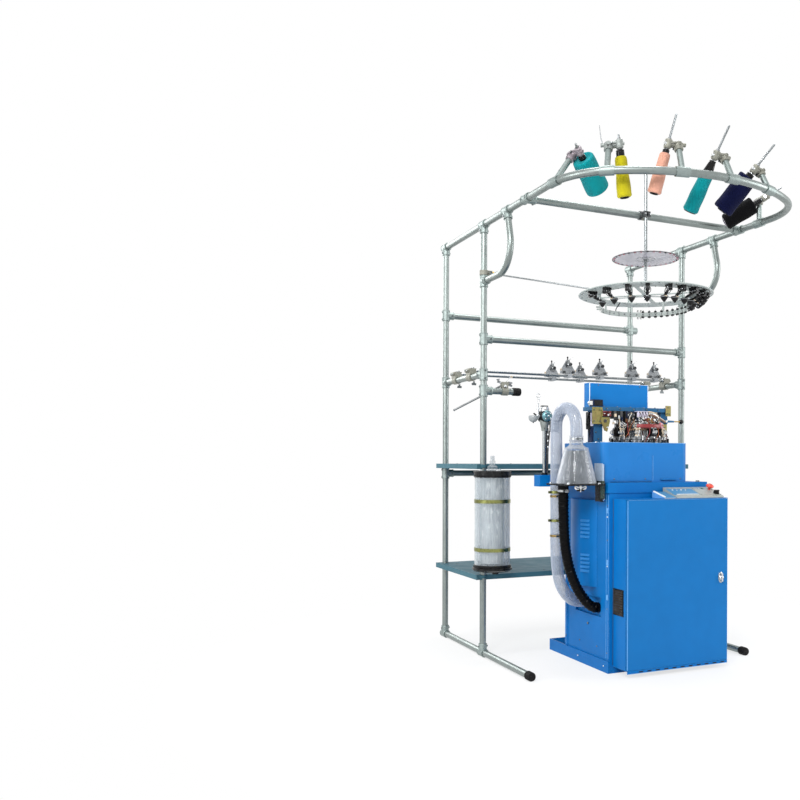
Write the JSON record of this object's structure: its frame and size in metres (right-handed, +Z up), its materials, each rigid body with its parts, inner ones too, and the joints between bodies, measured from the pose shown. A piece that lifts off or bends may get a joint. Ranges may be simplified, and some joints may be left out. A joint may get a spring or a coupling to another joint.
{
  "type": "circular knitting machine",
  "caption": "Blue computerised circular sock knitting machine with a galvanised tube yarn creel, hanging feeder discs, suction hoses and a filter canister.",
  "frame": {"origin": "on the floor, under the axis of the needle cylinder", "axes": "+X to the operator's right, +Y to the back where the creel stands, +Z up"},
  "size_m": [1.4224, 1.7674, 2.5024],
  "materials": {
    "galvanised_tube": "satin",
    "galvanised_fitting": "satin",
    "dark_screw": "satin",
    "black_rubber": "matte",
    "bright_steel": "polished",
    "beige_casting": "satin",
    "grey_plate": "satin",
    "tension_steel": "polished",
    "pale_disc": "satin",
    "black_plastic": "satin",
    "dyed_yarn": "matte",
    "teal_grey_paint": "satin",
    "clear_plastic": "clear",
    "white_mesh": "matte",
    "yellow_zinc": "satin",
    "blue_paint": "satin",
    "drive_grey": "satin",
    "grey_panel": "satin",
    "red_plastic": "gloss",
    "grey_casting": "satin",
    "black_hose_plastic": "satin",
    "black_paint": "satin",
    "bronze_steel": "satin",
    "dark_steel": "satin"
  },
  "bodies": {
    "machine": {"floor_rails": "galvanised_tube", "rubber_caps": "black_rubber", "front_posts": "galvanised_tube", "back_posts": "galvanised_tube", "creel_ring": "galvanised_tube", "curved_braces": "galvanised_tube", "cross_bars": "galvanised_tube", "side_rails": "galvanised_tube", "pipe_tees": "galvanised_fitting", "set_screws": "dark_screw", "guide_rods": "bright_steel", "rod_blocks": "beige_casting", "tension_plates": "grey_plate", "yarn_tensioners": "tension_steel", "hanger_rod": "bright_steel", "guide_disc": "pale_disc", "feeder_disc": "pale_disc", "feeder_units": "black_plastic", "eyelet_ring": "pale_disc", "cone_stubs": "galvanised_fitting", "cone_clamps": "beige_casting", "cone_shafts": "bright_steel", "cone_cores": "black_plastic", "yarn_cones": "dyed_yarn", "shelves": "teal_grey_paint", "filter_bowl": "clear_plastic", "filter_caps": "black_plastic", "filter_mesh": "white_mesh", "metal_bands": "yellow_zinc", "machine_base": "blue_paint", "cabinet_body": "blue_paint", "duct_cover": "blue_paint", "front_box": "blue_paint", "box_plates": "blue_paint", "vent_grille": "black_plastic", "control_unit": "drive_grey", "bed_plate": "blue_paint", "casing": "blue_paint", "control_panel": "grey_panel", "bracket_arm": "blue_paint", "stand_rod": "bright_steel", "air_regulator": "grey_casting", "clear_hose": "clear_plastic", "black_hose": "black_hose_plastic", "funnel": "clear_plastic", "funnel_plate": "black_paint", "head_frame": "blue_paint", "head_cover": "blue_paint", "brass_brackets": "yellow_zinc", "yarn_fingers": "bronze_steel", "cam_ring": "dark_steel", "actuators": "black_plastic"},
    "door": {"front_door": "blue_paint"},
    "lock": {"door_lock": "bright_steel"},
    "stop_button": {"estop_button": "red_plastic"},
    "selector": {"selector_knob": "black_plastic"},
    "lever": {"head_lever": "blue_paint"},
    "cylinder": {"needle_cylinder": "bright_steel", "needles": "bright_steel"},
    "dial_head": {"dial": "bright_steel"}
  },
  "joints": [
    {"name": "door_hinge", "type": "hinge", "parent": "machine", "child": "door", "pos_m": [-0.255, -0.3, 0.448], "axis": [0, 0, -1], "range_deg": [0, 110]},
    {"name": "lock_turn", "type": "hinge", "parent": "door", "child": "lock", "pos_m": [0.283, -0.305, 0.448], "axis": [0, -1, 0], "range_deg": [0, 90]},
    {"name": "stop_press", "type": "slide", "parent": "machine", "child": "stop_button", "axis": [0, 0.3404, -0.9403], "range_m": [0, 0.004], "stiffness_N_per_m": 800, "springref_m": -0.002},
    {"name": "selector_turn", "type": "hinge", "parent": "machine", "child": "selector", "pos_m": [0.279, -0.271, 0.86086], "axis": [0, -0.3404, 0.9403], "range_deg": [-45, 45]},
    {"name": "lever_lift", "type": "hinge", "parent": "machine", "child": "lever", "pos_m": [0.165, 0.0037, 1.228], "axis": [0, -1, 0], "range_deg": [0, 50]},
    {"name": "cylinder_spin", "type": "hinge", "parent": "machine", "child": "cylinder", "pos_m": [0, 0, 0.9], "axis": [0, 0, 1], "continuous": true},
    {"name": "dial_spin", "type": "hinge", "parent": "machine", "child": "dial_head", "pos_m": [0, 0, 1.25], "axis": [0, 0, 1], "continuous": true}
  ],
  "couplings": [
    {"joint": "dial_spin", "follows": "cylinder_spin", "ratio": 1}
  ]
}
